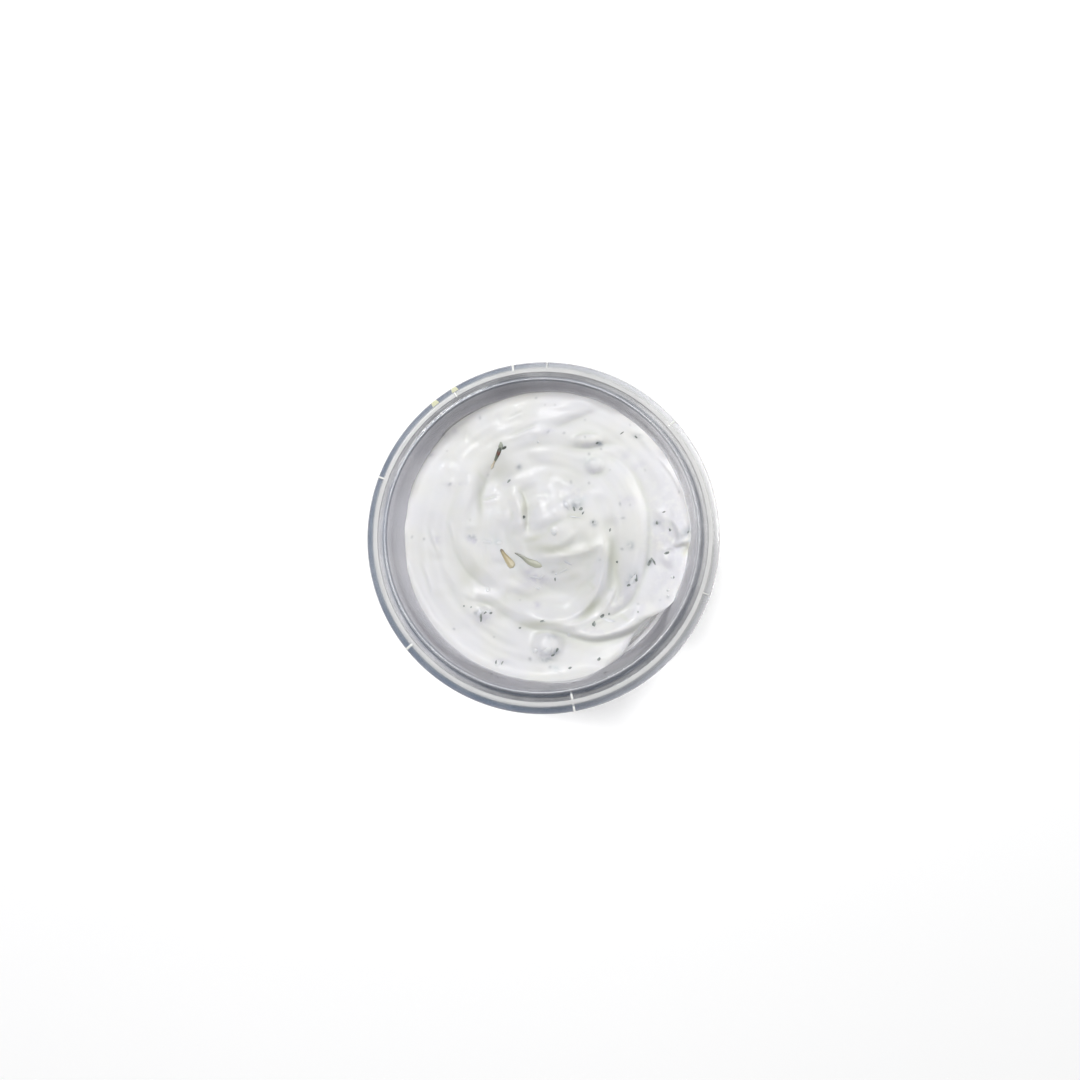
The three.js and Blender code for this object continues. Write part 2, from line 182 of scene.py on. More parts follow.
def rounded_line(corners, steps=4):
    """Points of a line through corners of (radius, height, rounding), each corner turned on an arc."""
    points = []
    for i, (r, z, rounding) in enumerate(corners):
        corner = Vector((r, z))
        if rounding == 0:
            points.append(corner)
            continue
        before = (Vector(corners[i - 1][:2]) - corner).normalized()
        after = (Vector(corners[i + 1][:2]) - corner).normalized()
        half = before.angle(after) / 2
        middle = corner + (before + after).normalized() * rounding / math.sin(half)
        first = corner + before * rounding / math.tan(half)
        last = corner + after * rounding / math.tan(half)
        for k in range(steps + 1):
            along = first.lerp(last, k / steps) - middle
            points.append(middle + along.normalized() * rounding)
    return points


def turned(points, turns):
    """A closed body spun round the Z axis from a line of (radius, height) in mm that ends on the axis."""
    bm = bmesh.new()
    line = [bm.verts.new((p.x * MM, 0, p.y * MM)) for p in points]
    edges = [bm.edges.new(pair) for pair in zip(line, line[1:])]
    bmesh.ops.spin(bm, geom=line + edges, axis=(0, 0, 1), cent=(0, 0, 0), angle=math.pi / 2,
                   steps=turns // 4)
    for axis in "XY":
        bmesh.ops.mirror(bm, geom=bm.verts[:] + bm.edges[:] + bm.faces[:], axis=axis, merge_dist=1e-6)
    bmesh.ops.remove_doubles(bm, verts=bm.verts, dist=1e-6)
    bmesh.ops.recalc_face_normals(bm, faces=bm.faces)
    return bm


outline = [  # inside from the middle of the floor up and over the rim, then outside down to the base
    (0, 1, 0), (42.0, 1, 0),
    (43.13, 1, 2.6), (LEDGE_FOOT_RADIUS, LEDGE_FOOT_Z, 0.25), (LEDGE_RADIUS, LEDGE_Z, 0.3),
    (LIP_RADIUS, TUB_TOP, 0.25), (LIP_RADIUS + 0.7, TUB_TOP, 0.25),
    (53.45, 41.4, 0.4), (RIDGE_IN, 41.4, 0.35), (RIDGE_IN, RIDGE_Z, 0.15),
    (RIDGE_OUT + 0.2, RIDGE_Z, 0.2), (58.55, 40.75, 0.7), (59.0, 40.1, 0.2),
    (59.0, 37.6, 0.18), (58.4, 37.6, 0.18),
    (58.35, 39.8, 0.3), (55.75, 42.2, 0.3), (55.3, 42.35, 0.1),
    (55.15, 40.75, 0.3), (52.75, 40.75, 0.3), (51.65, 46.3, 0.12),
    (50.67, 41.4, 0), (LEDGE_RADIUS + WALL, 28.9, 0.3), (LEDGE_FOOT_RADIUS + WALL, 28.1, 0.3),
    (43.75, 0, 3.2), (39.5, 0, 0.2), (38.9, 0.35, 0.2), (0, 0.35, 0),
]
bm = turned(rounded_line(outline), TUB_TURNS)

# Clear polypropylene with a slight haze. The wall is clear seen face-on and painted darker where it is
# seen slanted, with painted shade to the north and painted light to the east. Each ring of the rim
# takes its own painted grey of reflected light and shade, which changes from south-west to north-east:
# the ridge is the hazy white one, its haze also a painted highlight, and the lip's outer face and the
# outer slope the dark blue ones.
RING_LIGHT_AND_SHADE = (  # radius in mm, painted light-and-shade grey towards the south-west, painted light-and-shade grey towards the north-east
    (51.8, (0.66, 0.66, 0.68), (0.46, 0.46, 0.48)), (52.0, (0.17, 0.21, 0.29), (0.30, 0.32, 0.37)),
    (53.3, (0.19, 0.23, 0.31), (0.32, 0.34, 0.39)), (53.5, (0.46, 0.48, 0.52), (0.40, 0.41, 0.43)),
    (53.8, (0.32, 0.33, 0.36), (0.38, 0.38, 0.39)), (54.5, (0.34, 0.34, 0.37), (0.45, 0.45, 0.46)),
    (54.9, (0.70, 0.70, 0.70), (0.60, 0.60, 0.59)), (56.3, (0.70, 0.70, 0.70), (0.60, 0.60, 0.59)),
    (56.6, (0.22, 0.25, 0.29), (0.60, 0.60, 0.60)), (57.6, (0.15, 0.19, 0.26), (0.68, 0.68, 0.69)),
    (58.5, (0.23, 0.26, 0.33), (0.80, 0.80, 0.81)), (58.9, (0.60, 0.62, 0.66), (0.94, 0.94, 0.94)),
)
RING_START, RING_SPAN = 50.0, 10.0
RIM_START, CHANNEL_START, CHANNEL_END = (51.4, 51.7), (53.4, 53.6), (54.95, 54.7)
CHANNEL_SHADE = (0.12, 0.125, 0.14)
CLEAR_BELOW = (26 * MM, 30.5 * MM)
# painted shade and light on the inner wall: darkest to the north, lightest to the east
SHADED_WALL_NORTH, SHADED_WALL_SOUTH, LIT_WALL_EAST = (0.18, 0.178, 0.202), (0.478, 0.476, 0.516), (0.82, 0.82, 0.845)
FACE_ON, LOW_WALL, CLOUD = (0.95, 0.95, 0.96), (0.985, 0.985, 0.99), (0.9, 0.9, 0.9)


def reckoned(operation, vector, other, output):
    """A socket of a vector operation on a vector socket and a fixed vector."""
    node = vector.id_data.nodes.new("ShaderNodeVectorMath")
    node.operation = operation
    feed(vector, node.inputs[0])
    feed(other, node.inputs[1])
    return node.outputs[output]


def product(first, second):
    """The product of a socket and a number or a second socket."""
    times = first.id_data.nodes.new("ShaderNodeMath")
    times.operation = "MULTIPLY"
    feed(first, times.inputs[0])
    feed(second, times.inputs[1])
    return times.outputs["Value"]


def bumped(height, strength, depth, normal=None):
    """The normal socket of a bump by a height socket, on top of another normal socket."""
    bump = height.id_data.nodes.new("ShaderNodeBump")
    for name, value in (("Height", height), ("Strength", strength), ("Distance", depth)):
        feed(value, bump.inputs[name])
    if normal is not None:
        feed(normal, bump.inputs["Normal"])
    return bump.outputs["Normal"]


def ramped(value, stops):
    """The colour socket of a ramp with stops of (position, colour) at a value socket."""
    ramp = value.id_data.nodes.new("ShaderNodeValToRGB")
    for i, (position, colour) in enumerate(stops):
        stop = ramp.color_ramp.elements[i] if i < 2 else ramp.color_ramp.elements.new(position)
        stop.position = position
        stop.color = (*colour, 1)
    feed(value, ramp.inputs["Fac"])
    return ramp.outputs["Color"]


def towards(plan, compass, low, high):
    """A socket that runs from 0 to 1 while a place in plan goes from low to high along a compass angle,
    which starts in the east and turns by north."""
    turn = math.radians(compass)
    along = reckoned("DOT_PRODUCT", plan, (math.cos(turn), math.sin(turn), 0), "Value")
    return ranged(along, low, high)


plastic, tree, shader = new_material(
    "clear_plastic", roughness=0.09, ior=1.49, transmission_weight=0.8)
place = object_place(tree)
plan = reckoned("MULTIPLY", place, (1 / MM, 1 / MM, 0), "Vector")
from_axis = reckoned("LENGTH", plan, (0, 0, 0), "Value")
ring_share = ranged(from_axis, RING_START, RING_START + RING_SPAN)
# the rim's greys are painted reflected light and shade, mixed from the south-west to the north-east
rim_painted_light_and_shade = mixed(towards(plan, 15, -12, 58), *(
    ramped(ring_share, [((ring[0] - RING_START) / RING_SPAN, ring[side]) for ring in RING_LIGHT_AND_SHADE])
    for side in (1, 2)))
in_channel = product(ranged(from_axis, *CHANNEL_START), ranged(from_axis, *CHANNEL_END))
for compass in (110, 290):  # painted shade: the channel's floor is darker to the north and the south
    rim_painted_light_and_shade = mixed(product(in_channel, towards(plan, compass, 24, 48)), rim_painted_light_and_shade, CHANNEL_SHADE)
# painted shade on the wall, darkest to the north, and painted light to the east
wall_painted_shade = mixed(towards(plan, 275, -50, -12), SHADED_WALL_NORTH,
                  mixed(towards(plan, 40, 10, 45), SHADED_WALL_SOUTH, LIT_WALL_EAST))
# painted shade: the wall turns from clear face-on to its painted grey where it is seen slanted
slant = tree.nodes.new("ShaderNodeLayerWeight")
feed(0.5, slant.inputs["Blend"])
shaded_wall_tone = mixed(ranged(slant.outputs["Facing"], 0, 0.2), FACE_ON, wall_painted_shade)
apart = tree.nodes.new("ShaderNodeSeparateXYZ")
feed(place, apart.inputs["Vector"])
shaded_wall_tone = mixed(ranged(apart.outputs["Z"], *CLEAR_BELOW), LOW_WALL, shaded_wall_tone)
tone_with_painted_light = mixed(ranged(from_axis, *RIM_START), shaded_wall_tone, rim_painted_light_and_shade)
drawn = tree.nodes.new("ShaderNodeMapping")
feed((1, 1, 0.12), drawn.inputs["Scale"])  # draws the ripples out up the wall
feed(place, drawn.inputs["Vector"])
ripple = noise(drawn.outputs["Vector"], 90, detail=3)
feed(bumped(ripple, 0.01, 0.4 * MM), shader.inputs["Normal"])
cloud_share = product(ranged(ripple, 0.35, 0.7), 0.14)
feed(mixed(cloud_share, tone_with_painted_light, CLOUD), shader.inputs["Base Color"])
# the ridge is paler and less clear, and its paleness also stands in for the highlight on it
hazy_highlit = mottled("hazy_highlit_ridge_plastic", 120, (0.54, 0.54, 0.545), (0.66, 0.66, 0.65),
               roughness=0.2, ior=1.49, transmission_weight=0.3)
tub = new_object("clear_tub", bm, plastic)
tub.data.materials.append(hazy_highlit)
for face in tub.data.polygons:
    radius = face.center.xy.length / MM
    if face.center.z > (RIDGE_Z - 0.4) * MM and RIDGE_IN + 0.15 < radius < RIDGE_OUT + 0.15:
        face.material_index = 1
tub.visible_shadow = False  # clear plastic this thin lets nearly all the light through
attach(tub, "root")
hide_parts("tub")

# ---- Rim ribs ------------------------------------------------------------------------------------
# Thin frosted webs, moulded with the tub, that stand on the outer slope. A long one also crosses the
# channel, and a short one stands in it.
RIBS = (  # compass angle, inner and outer radius, half the thickness
    (40.5, 55.6, 58.2, 0.32), (99.7, 56.2, 58.6, 0.34), (88.2, 56.4, 58.4, 0.12), (160, 56.3, 58.6, 0.28),
    (220, 56.0, 58.8, 0.36), (280.5, 52.3, 58.9, 0.34), (340, 56.4, 58.2, 0.14), (121.3, 54.8, 56.6, 0.2),
    (129.3, 52.8, 53.8, 0.24),
)
CHANNEL_FOOT, SLOPE_TOP, SLOPE_START, SLOPE_FALL = 40.9, 42.4, 56.2, 0.9
RIB_TOP, CHANNEL_RIB_TOP, RIB_FALL = 43.05, 42.4, 0.15
frosted = mottled("frosted_plastic", 900, (0.90, 0.90, 0.86), (0.98, 0.98, 0.95),
                  roughness=0.4, ior=1.49, transmission_weight=0.1)
bm = bmesh.new()
for compass, inner, outer, half in RIBS:
    turn = Matrix.Rotation(math.radians(compass), 4, "Z")
    for vert in bmesh.ops.create_cube(bm, size=1, matrix=turn)["verts"]:
        local = turn.inverted() @ vert.co
        r = outer if local.x > 0 else inner
        down_slope = max(0, r - SLOPE_START)
        foot = CHANNEL_FOOT if r < RIDGE_IN else SLOPE_TOP - down_slope * SLOPE_FALL
        top = (RIB_TOP if inner > 54 else CHANNEL_RIB_TOP) - down_slope * RIB_FALL
        z = top if local.z > 0 else foot
        vert.co = turn @ Vector((r, math.copysign(half, local.y), z)) * MM
bmesh.ops.bevel(bm, geom=bm.edges[:], offset=0.06 * MM, segments=2, affect="EDGES", profile=0.5,
                material=-1)
ribs = new_object("rim_ribs", bm, frosted)
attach(ribs, "root")

# ---- Tear strip stubs ----------------------------------------------------------------------------
# Two torn stubs of the tear strip, left on the outer slope where its seat ends: thin plastic, pale
# yellow-green and half see-through.
STUBS = ((120.8, 2.6), (128.8, 2.9))  # compass angle and length
STUB_RADIUS, STUB_Z, STUB_WIDTH, STUB_THICK = 57.75, 41.85, 1.9, 0.8
torn = mottled("torn_plastic", 700, (0.80, 0.80, 0.48), (0.94, 0.94, 0.74),
               roughness=0.3, ior=1.49, transmission_weight=0.15)
bm = bmesh.new()
for compass, length in STUBS:
    turn = Matrix.Rotation(math.radians(compass), 4, "Z")
    turn = turn @ Matrix.Translation(Vector((STUB_RADIUS, 0, STUB_Z)) * MM)
    size = Matrix.Diagonal((STUB_WIDTH * MM, length * MM, STUB_THICK * MM, 1))
    for vert in bmesh.ops.create_cube(bm, size=1, matrix=turn @ size)["verts"]:
        local = turn.inverted() @ vert.co
        local.z -= local.x * 0.7 + abs(local.y) * 0.15  # lies along the slope
        local.y *= 1 - 0.3 * (local.x > 0)  # narrows outwards
        vert.co = turn @ local
bmesh.ops.bevel(bm, geom=bm.edges[:], offset=0.34 * MM, segments=4, affect="EDGES", profile=0.5,
                material=-1)
stubs = new_object("tear_strip_stubs", bm, torn)
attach(stubs, "root")

# ---- The dip -------------------------------------------------------------------------------------
# Thick strained yogurt, spooned in and swirled, so it lies in soft folds that overlap round a peak
# in the middle. It wets the wall all round but for one pocket, where it stands off the ledge.
LEVEL, LEAN = 33.4, (0.055, 0.045)
HIGH_SHARE = 0.55  # share of a fold's depth that stands above the surface round it
MOUNDS = (  # middle, reach, height, crispness of the foot
    ((4, 5), (15, 14), 2.6, 1), ((24, 2), (13, 22), 1.5, 1), ((6, 38), (22, 12), 1.4, 1),
    ((5, -19), (12, 8), -1.6, 1), ((-7, -20.5), (10, 4), 0.6, 1), ((-32, 8), (12, 20), 0.7, 1),
    ((1.5, -36), (4.3, 4.3), 2.1, 1.8), ((15.3, 32.4), (4.4, 2.1), 1.2, 1.7),
    ((17.6, 24), (2.7, 2.4), 1.0, 1.8), ((9.3, 11.7), (2.6, 2), 0.6, 1.4),
    ((41.2, 6.3), (2.2, 3.1), 0.8, 1.2), ((42.3, -7.6), (2.4, 2.4), 0.6, 1.2),
    ((46.5, 1.5), (2.5, 3), 1.0, 1.2), ((3.8, 2.2), (1.0, 0.9), 0.3, 1.3), ((-16, 19), (6, 6), -0.7, 1),
    ((22.6, 3.8), (2.2, 2.4), -0.5, 1.1), ((-19, -25), (4, 2.4), 0.5, 1.2), ((24, -13), (2.6, 6), -0.8, 1),
)
EDGE_HEIGHTS = (  # compass angle, height at which the dip meets the wall
    (0, 38), (28, 37.5), (50, 37), (65, 39.5), (90, 38.5), (112, 37), (128, 37.8), (150, 34.5), (172, 31),
    (185, 30.6), (230, 33), (250, 32.4), (266, 34), (281, 37.5), (303, 31), (332, 34.5), (345, 35.2),
    (354, 35.3), (358, 38.2), (360, 38),
)
EDGE_WOBBLE = ((0.35, 9, 1), (0.25, 23, 0), (0.15, 41, 2))  # height, waves round the dip, start


def fold(line, depth, width, reach, fade=(0.3, 0.3), crest=False, edge=0.5):
    """A step in the surface whose high side lies to the left of its line. A lobe has a round shoulder
    of the given width over a sharp crease; a crest has a sharp top over a hollow flank."""
    return line, depth, width, reach, fade, crest, edge


FOLDS = (
    # the outer swirl, from the tongue's root round the east to the north
    fold(((31.5, -19.8), (33.4, -15.5), (34.5, -10.4), (35.6, -3.6), (35.9, 3.2), (35.2, 10), (33.2, 15.8),
          (30.6, 20.9), (26.4, 25.4), (21, 27.9), (13, 28.6)), 2.0, 4.8, (15, 8), (0.2, 0.45)),
    fold(((0.8, 36.5), (5.9, 37.9), (12.7, 40.6), (21.2, 43.3)), 1.2, 4, (7, 9), (0.35, 0.3), edge=0.8),
    fold(((28.5, 30.2), (22.5, 31.2), (16.1, 30.0), (9, 30.2), (3, 32.2)), 1.1, 4, (9, 4), (0.3, 0.4)),
    fold(((26, 37.5), (31, 33.5), (35.5, 28.5), (39, 23)), 0.8, 4, (6, 6), (0.4, 0.4), edge=1),
    # petals round the middle
    fold(((-19.4, 3.6), (-20.9, 7.3), (-21.5, 11.7), (-20.6, 16.8), (-18.9, 21.9), (-16.5, 26.4),
          (-13.5, 29.8)), 1.6, 6, (14, 9), (0.3, 0.4), edge=0.7),
    fold(((-21, 12.6), (-18, 13.2), (-15, 14.2)), -0.5, 0.9, (2, 3), (0.3, 0.4), edge=0.3),
    fold(((-13.4, 1.5), (-11.4, 5), (-11.2, 9.5), (-12.8, 13.5)), 0.8, 3, (6, 5), (0.4, 0.5), edge=1),
    fold(((-6.3, -0.4), (-5.4, 5), (-5.6, 10.5), (-7.4, 15.5), (-10.5, 19)), 2.2, 3.4, (9, 6), (0.25, 0.4)),
    fold(((-6, 1.2), (-1, 2.8), (4.2, 4.8), (10, 7)), 1.5, 4, (8, 4), (0.35, 0.3), edge=1.8),
    fold(((-3.5, -3.8), (3.5, -3.4), (7.8, -1.6), (11, 1.6), (11.7, 5)), 1.1, 3.2, (4, 6), (0.4, 0.4),
         crest=True, edge=0.9),
    fold(((-4, -7.4), (3, -7), (10, -6.2), (16, -4.6), (20.4, -1)), 1.7, 4.5, (4, 4), (0.4, 0.2),
         crest=True, edge=1),
    # the scoop that the spoon left, with its sharp crest
    fold(((2, -28.4), (7.9, -27.6), (12.6, -25.4), (16.3, -21.8), (18.8, -17.2), (20.4, -12), (21, -6.3),
          (20.6, -1.6), (19.4, 3.4)), 3.2, 4.6, (6, 13), (0.4, 0.2), crest=True),
    fold(((2, -30.8), (8.3, -30.4), (13.5, -29.4), (18.6, -26.6), (22, -22.5), (24.5, -17), (26, -11)), 1.2,
         2.2, (5, 3), (0.35, 0.3), crest=True),
    fold(((19.5, -28), (23.6, -26.2), (28, -23.2), (31, -19), (32.6, -13)), 1.2, 3, (7, 4), (0.35, 0.3)),
    fold(((41.5, 6.5), (43.6, 3.6), (44.8, 0.3), (44.2, -3)), 1.1, 1.6, (3, 2.5), (0.35, 0.35)),
    fold(((40.2, -6), (42, -4.2), (44.6, -4.2)), 0.6, 1.2, (2.5, 2), (0.35, 0.35), crest=True, edge=0.3),
    fold(((43.6, -4.6), (46, -3.4), (49.5, -2.6)), 1.8, 1.4, (3.5, 3), (0.4, 0.01)),
    # the edge of the tongue that lies over the low south side
    fold(((-12, -27.5), (-6, -30), (-1, -31.2), (5.3, -32.2), (11, -33.8), (17, -34.8)), 2.4, 3.8, (10, 6),
         (0.45, 0.35)),
    fold(((5.5, -31.9), (11, -33.9), (16.8, -35), (23.6, -34), (30.4, -31.6), (35.8, -28.3), (40.5, -24)),
         3.8, 1.9, (8, 8), (0.3, 0.25)),
    fold(((29, -34.8), (27, -39), (21, -43.7), (16, -47)), -0.9, 3, (6, 6), (0.4, 0.3)),
    # the low folds of the south-west
    fold(((-32.2, 4), (-31, -3), (-28, -9), (-23.7, -13.9), (-18.4, -17.4), (-11.8, -19.6)), 1.9, 8,
         (14, 6), (0.4, 0.35), edge=0.7),
    fold(((-30, -19.6), (-24.7, -21.2), (-19.6, -22.2), (-15.5, -24.6), (-11.8, -27), (-8.4, -29.4)), 1.1,
         3.2, (7, 5), (0.4, 0.3), edge=0.7),
    fold(((-16.5, -16), (-10, -18.8), (-3, -19.4), (4, -18)), 0.8, 4, (7, 6), (0.4, 0.4), edge=1.2),
    # thin ripples that catch the light
    fold(((-39.3, 5), (-38, -0.2), (-35.9, -5.6)), 0.4, 1.2, (1.5, 2), (0.4, 0.4), crest=True, edge=0.3),
    fold(((-32.5, 6.6), (-31.5, 2.5), (-30.5, -1.9)), 0.35, 1.0, (1.4, 2), (0.4, 0.4), crest=True,
         edge=0.3),
    fold(((-42.4, -7), (-40.7, -11), (-39, -16.2), (-38.6, -20.6)), 0.4, 1.2, (1.5, 2), (0.4, 0.4),
         crest=True, edge=0.3),
    fold(((2.8, -43.7), (5.9, -45.7), (9.3, -48)), -0.4, 0.8, (1.2, 1.5), crest=True, edge=0.3),
    fold(((-12.1, 40.6), (-6.7, 43)), -0.4, 0.8, (1.2, 1.6), crest=True, edge=0.3),
    fold(((-12.8, 33.8), (-6, 36.5), (-0.9, 38.9)), -0.5, 1.0, (1.6, 2), crest=True, edge=0.3),
    fold(((38, 27.7), (43.5, 20.2), (47.5, 11.7)), 0.5, 1.2, (2, 2), crest=True, edge=0.3),
    fold(((8, -30), (14, -28.7), (18.5, -26)), 0.35, 0.8, (1.2, 1.2), crest=True, edge=0.2),
    fold(((13, -20.5), (17, -16.5), (19, -11)), 0.25, 0.8, (1, 1), crest=True, edge=0.2),
)
LUMPS, LUMP_HEIGHT = 170, 0.25  # random soft lumps of 1.5 to 5 mm all over the dip
STREAKS, STREAK_HEIGHT, STREAK_MIDDLE = 9, 0.06, (2.0, 1.0)  # faint spiral streaks from the spoon
POCKET_ANGLE, POCKET_SPREAD, POCKET_DEPTH, POCKET_BOTTOM, POCKET_RISE = 318, 17, 4.4, 22, 8
SINK = 0.12  # how far the dip reaches into the wall
DIP_CELLS = 270
EDGE_CROWDING = 1.12  # draws the cells together towards the wall
SIDE_SHARES = (0.85, 0.7, 0.5, 0.3)  # rings of the side, as shares of the way up from the ledge
SIDE_RINGS = (  # height of each ring under them and how far it stands in
    (29.0, 0), (28.4, 0), (25.5, 0), (22, 0), (15, 0), (5, 0), (2.0, 0.6), (0.9, 2.2),
)
CREASE_SHADE_DEPTH, CREASE_SHADE_WITHIN = 0.22, 44  # depth at which a crease takes its full painted shade, and out to where


def ease(q):
    """Rises smoothly from 0 to 1."""
    q = np.clip(q, 0, 1)
    return q * q * (3 - 2 * q)


def fall_off(q, soft):
    """Falls from 1 to 0, with a round start where soft is 1."""
    q = np.clip(q, 0, 1)
    return (1 - q) ** 2 * (1 + 2 * q * soft)


def smooth_line(corners, pieces=36):
    """Evenly spaced points of a smooth curve through the corners."""
    corners = np.array(corners, float)
    padded = np.vstack([corners[:1], corners, corners[-1:]])
    dense = []
    for i in range(len(corners) - 1):
        a, b, c, d = padded[i:i + 4]
        t = np.linspace(0, 1, 20)[:, None]
        dense.append(0.5 * (2 * b + (c - a) * t + (2 * a - 5 * b + 4 * c - d) * t ** 2
                            + (3 * b - a - 3 * c + d) * t ** 3))
    dense = np.vstack(dense)
    run = np.concatenate([[0], np.cumsum(np.hypot(*np.diff(dense, axis=0).T))])
    even = np.linspace(0, run[-1], pieces + 1)
    return np.stack([np.interp(even, run, dense[:, 0]), np.interp(even, run, dense[:, 1])], 1)


def along_line(line, x, y):
    """Distance of each place from the line, its side (left is positive) and how far along it is."""
    best, side, along = np.full(x.shape, np.inf), np.ones(x.shape), np.zeros(x.shape)
    for i, (start, end) in enumerate(zip(line, line[1:])):
        step = end - start
        t = np.clip(((x - start[0]) * step[0] + (y - start[1]) * step[1]) / (step @ step), 0, 1)
        off_x, off_y = x - start[0] - t * step[0], y - start[1] - t * step[1]
        distance = np.hypot(off_x, off_y)
        nearer = distance < best - 1e-9
        best = np.where(nearer, distance, best)
        side = np.where(nearer, np.where(step[0] * off_y - step[1] * off_x >= 0, 1, -1), side)
        along = np.where(nearer, (i + t) / (len(line) - 1), along)
    return best, side, along


fold_lines = [(smooth_line(line), *rest) for line, *rest in FOLDS]
chance = random.Random(12)
lumps = tuple(
    ((chance.uniform(-46, 46), chance.uniform(-46, 46)), (chance.uniform(1.5, 5), chance.uniform(1.5, 5)),
     chance.uniform(-1, 1) * LUMP_HEIGHT, 1)
    for _ in range(LUMPS))
streaks = [(chance.uniform(2.6, 9), chance.choice((-4, -3, -2, 2)), chance.uniform(0, 6.3),
            chance.uniform(0.4, 1) * STREAK_HEIGHT) for _ in range(STREAKS)]


def swirl_height(x, y):
    """Height of the swirled surface in mm, before it turns down or up at the wall."""
    z = LEVEL + LEAN[0] * x + LEAN[1] * y
    for (mx, my), (rx, ry), height, crisp in MOUNDS + lumps:
        z = z + height * np.exp(-(((x - mx) / rx) ** 2 + ((y - my) / ry) ** 2) ** crisp)
    from_x, from_y = x - STREAK_MIDDLE[0], y - STREAK_MIDDLE[1]
    out, turn = np.hypot(from_x, from_y), np.arctan2(from_y, from_x)
    for pitch, arms, start, height in streaks:
        broken = 0.25 + 0.75 * np.sin(arms * turn * 1.5 + out / 7 + 3 * start) ** 2
        z = z + height * broken * np.sin(2 * math.pi * out / pitch + arms * turn + start) * ease(out / 12)
    for line, depth, width, reach, fade, crest, edge in fold_lines:
        low_corner, high_corner = line.min(0) - max(reach), line.max(0) + max(reach)
        near = (x > low_corner[0]) & (y > low_corner[1]) & (x < high_corner[0]) & (y < high_corner[1])
        distance, side, along = along_line(line, x[near], y[near])
        signed = distance * side
        hinge = (np.sqrt(signed ** 2 + edge ** 2) + np.where(crest, -signed, signed)) / 2
        q = np.clip(hinge / width, 0, 1)
        risen = (1 - q) ** 2 if crest else 1 - (1 - q) ** 2
        high = HIGH_SHARE * risen * fall_off(signed / reach[0], 0.3 if crest else 1)
        low = (1 - HIGH_SHARE) * (1 - risen) * fall_off(-signed / reach[1], 0.5)
        grown = ease(along / fade[0]) * ease((1 - along) / fade[1])
        z[near] += depth * grown * (high - low)
    return z


def wall_radius(z):
    """Inside radius of the tub at height z."""
    upper = LIP_RADIUS - (TUB_TOP - z) * UPPER_DRAFT
    ledge_slope = (LEDGE_RADIUS - LEDGE_FOOT_RADIUS) / (LEDGE_Z - LEDGE_FOOT_Z)
    ledge = LEDGE_FOOT_RADIUS + ledge_slope * (z - LEDGE_FOOT_Z)
    lower = LEDGE_FOOT_RADIUS - (LEDGE_FOOT_Z - z) * LOWER_DRAFT
    return np.where(z >= LEDGE_Z, upper, np.where(z >= LEDGE_FOOT_Z, ledge, lower))


def edge_height(angle):
    """Height at which the dip meets the wall, by compass angle in radians."""
    degrees = np.degrees(angle) % 360
    angles, heights = np.array(EDGE_HEIGHTS, float).T
    index = np.clip(np.searchsorted(angles, degrees, side="right") - 1, 0, len(angles) - 2)
    share = ease((degrees - angles[index]) / (angles[index + 1] - angles[index]))
    wobble = sum(height * np.sin(waves * angle + start) for height, waves, start in EDGE_WOBBLE)
    return heights[index] * (1 - share) + heights[index + 1] * share + wobble


def side_radius(angle, z):
    """Radius of the dip's side, by compass angle in radians and height in mm."""
    away = np.abs((np.degrees(angle) - POCKET_ANGLE + 180) % 360 - 180)
    pocket = POCKET_DEPTH * fall_off(away / POCKET_SPREAD, 1) * ease((z - POCKET_BOTTOM) / POCKET_RISE)
    return wall_radius(z) + SINK - pocket * (1 + SINK / POCKET_DEPTH)


def surface_height(x, y):
    """Height of the dip's surface in mm at a place in plan."""
    angle = np.arctan2(y, x)
    edge = edge_height(angle)
    inner = swirl_height(x, y)
    turn = np.clip(1.5 + 0.8 * np.abs(inner - edge), 1.5, 6)  # width of the turn at the wall
    inward = np.clip((side_radius(angle, edge) - np.hypot(x, y)) / turn, 0, 1)
    return edge + (inner - edge) * np.sqrt(1 - (1 - inward) ** 2)


# The top is a square grid pressed into a circle, and the side and underside are drawn down from it.
bm = bmesh.new()
bmesh.ops.create_grid(bm, x_segments=DIP_CELLS, y_segments=DIP_CELLS, size=1)
co = np.array([vert.co for vert in bm.verts])
u, v = co[:, 0], co[:, 1]
wide = np.abs(u) > np.abs(v)
share = np.where(wide, u, v)
with np.errstate(all="ignore"):
    angle = np.where(wide, math.pi / 4 * v / u, math.pi / 2 - math.pi / 4 * u / v)
angle = np.where(share == 0, 0, angle) + np.where(share < 0, math.pi, 0)
share = 1 - (1 - np.abs(share)) ** EDGE_CROWDING
radius = side_radius(angle, edge_height(angle)) * share
x, y = radius * np.cos(angle), radius * np.sin(angle)
z = surface_height(x, y)
for vert, place in zip(bm.verts, np.stack([x, y, z], 1) * MM):
    vert.co = place
# painted shade in the creases: how far each point of the top lies below the points round it
rows = z.reshape(DIP_CELLS + 1, DIP_CELLS + 1)
around = sum(np.roll(rows, step, axis) for step in (4, -4) for axis in (0, 1)) / 4
crease_shade = (around - rows).ravel() / CREASE_SHADE_DEPTH
rim = [edge for edge in bm.edges if edge.is_boundary]
for height, inset in [(share, None) for share in SIDE_SHARES] + list(SIDE_RINGS):
    made = bmesh.ops.extrude_edge_only(bm, edges=rim)["geom"]
    rim = [item for item in made if isinstance(item, bmesh.types.BMEdge)]
    for vert in {vert for edge in rim for vert in edge.verts}:
        compass = math.atan2(vert.co.y, vert.co.x)
        level = height
        if inset is None:
            level = LEDGE_Z + (float(edge_height(compass)) - LEDGE_Z) * height
        reach = float(side_radius(compass, level)) - (inset or 0)
        vert.co = Vector((math.cos(compass) * reach, math.sin(compass) * reach, level)) * MM
bmesh.ops.holes_fill(bm, edges=rim, sides=0)
bmesh.ops.recalc_face_normals(bm, faces=bm.faces)


